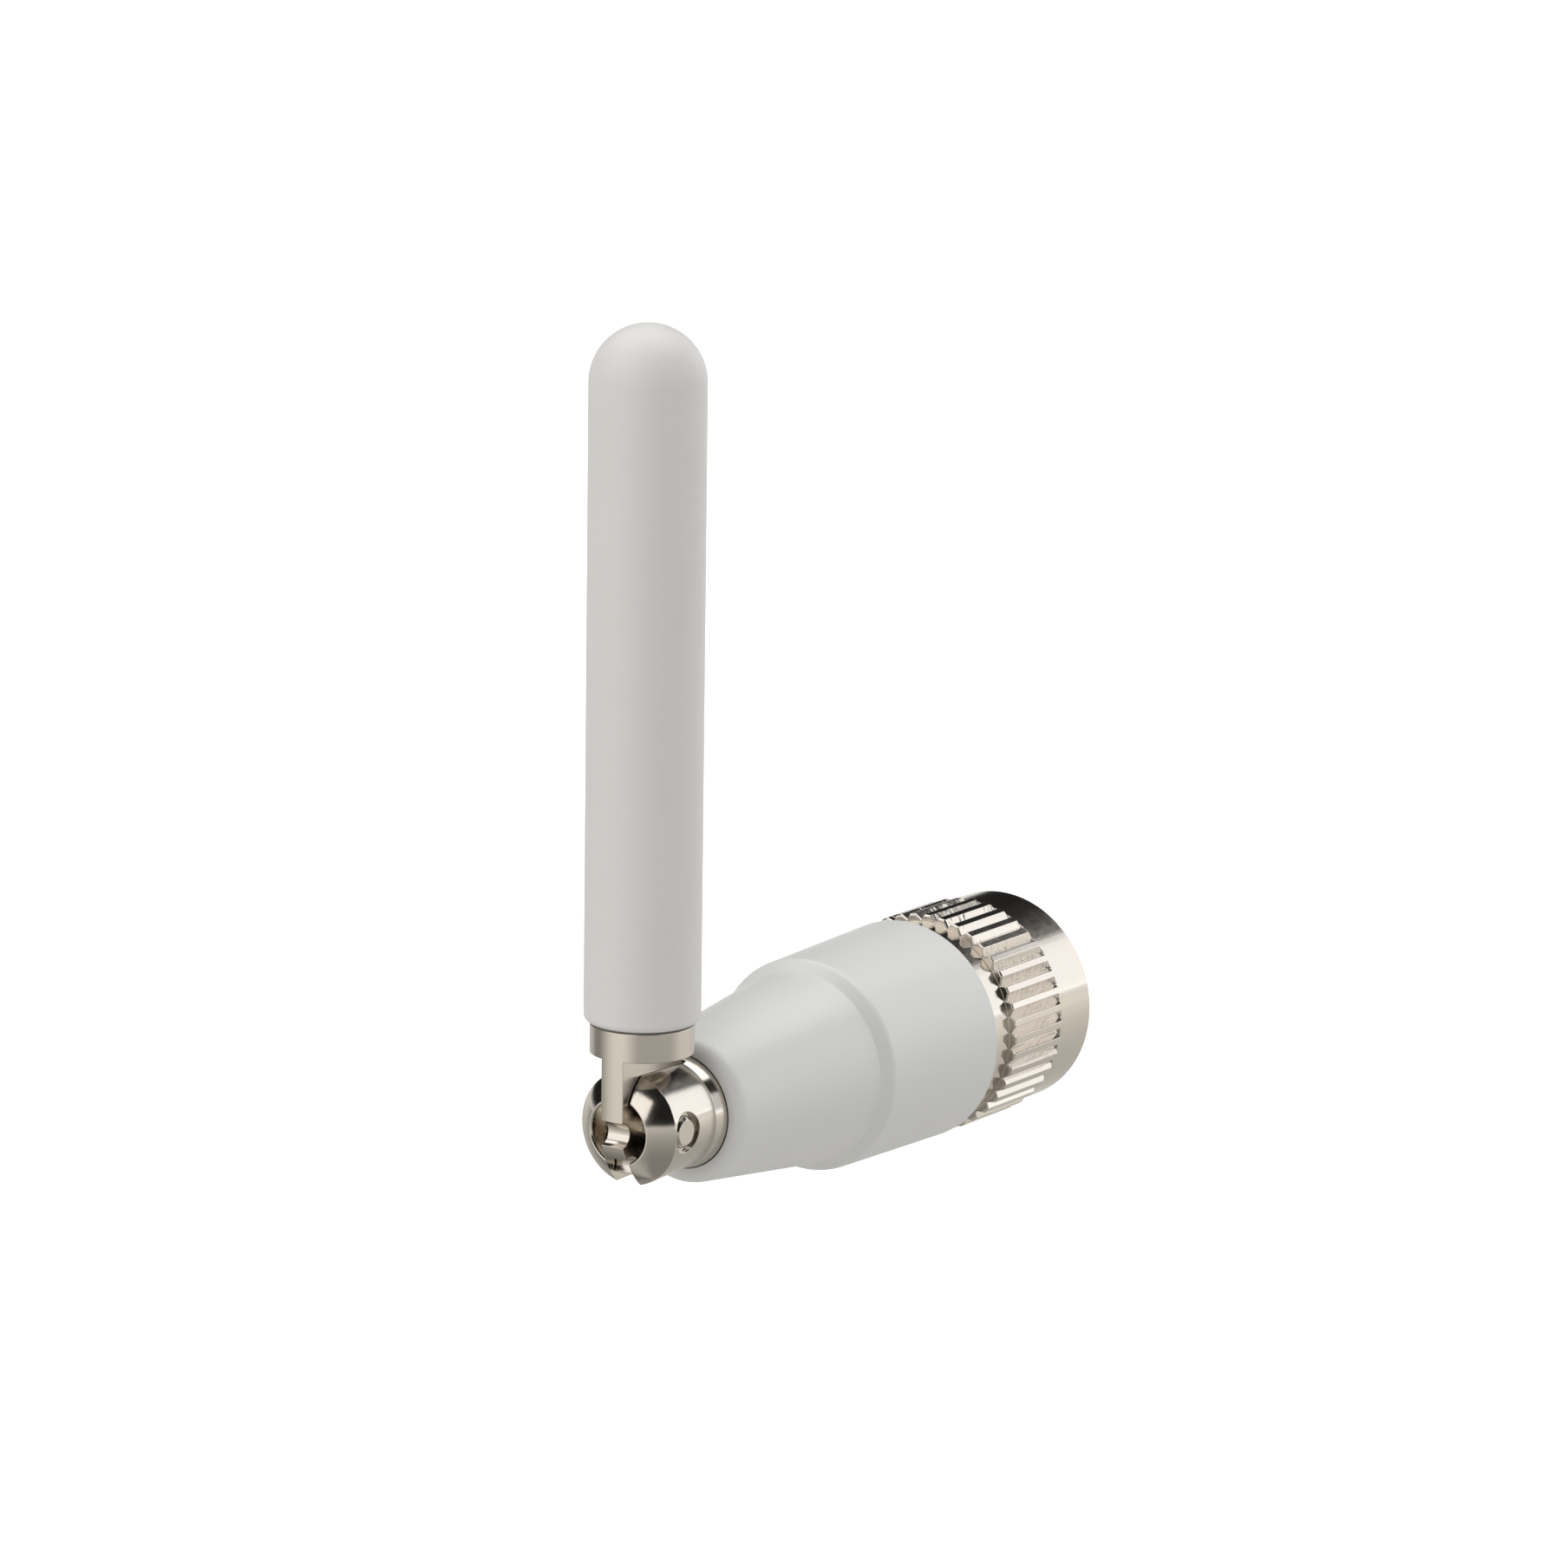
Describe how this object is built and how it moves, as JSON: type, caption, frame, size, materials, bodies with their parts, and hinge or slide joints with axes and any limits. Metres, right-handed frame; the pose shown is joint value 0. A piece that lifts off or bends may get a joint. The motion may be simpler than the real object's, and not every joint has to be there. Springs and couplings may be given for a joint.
{
  "type": "wifi antenna",
  "caption": "Short white stub antenna on a nickel-plated tilting hinge, with a stepped plastic sleeve and a toothed threaded coupling nut.",
  "frame": {"origin": "on the connector axis, at the mouth end of the coupling nut's thread, 0.45 mm inside the nut's front face", "axes": "+X along the connector axis, out of the coupling nut's mouth; +Z along the tube, which stands square to the connector at rest; the hinge pin is parallel to Y"},
  "size_m": [0.0448, 0.0144, 0.0577],
  "materials": {
    "nickel_plate": "bright nickel plate over turned brass",
    "spring_metal": "drawn spring wire",
    "bare_brass": "turned brass",
    "gilt_contact": "thin gold plate over brass",
    "white_insulator": "white fluoroplastic",
    "silicone_rubber": "red-brown silicone rubber",
    "sleeve_plastic": "satin moulded light grey plastic",
    "tube_plastic": "matt moulded light grey plastic",
    "adhesive": "dark set adhesive"
  },
  "bodies": {
    "base": {"retaining_ring": "spring_metal", "gasket": "silicone_rubber", "plug_body": "nickel_plate", "outer_contact": "nickel_plate", "front_insulator": "white_insulator", "centre_contact": "gilt_contact", "rear_insulator": "white_insulator", "feed_rod": "bare_brass", "sleeve": "sleeve_plastic", "knuckle": "nickel_plate", "hinge_pin": "nickel_plate", "detent_spring": "spring_metal"},
    "nut": {"coupling_nut": "nickel_plate"},
    "arm": {"hinge_arm": "nickel_plate", "bond_ring": "adhesive", "radome": "tube_plastic", "radiator": "bare_brass", "lower_spacer": "white_insulator", "upper_spacer": "white_insulator"},
    "plunger": {"detent_plunger": "bare_brass"}
  },
  "joints": [
    {"name": "nut_spin", "type": "hinge", "parent": "base", "child": "nut", "pos_m": [0, 0, 0], "axis": [1, 0, 0], "continuous": true},
    {"name": "tilt", "type": "hinge", "parent": "base", "child": "arm", "pos_m": [-0.04075, 0, 0], "axis": [0, -1, 0], "range_deg": [0, 180]},
    {"name": "click", "type": "slide", "parent": "base", "child": "plunger", "axis": [-1, 0, 0], "range_m": [0, 0.0003]}
  ]
}
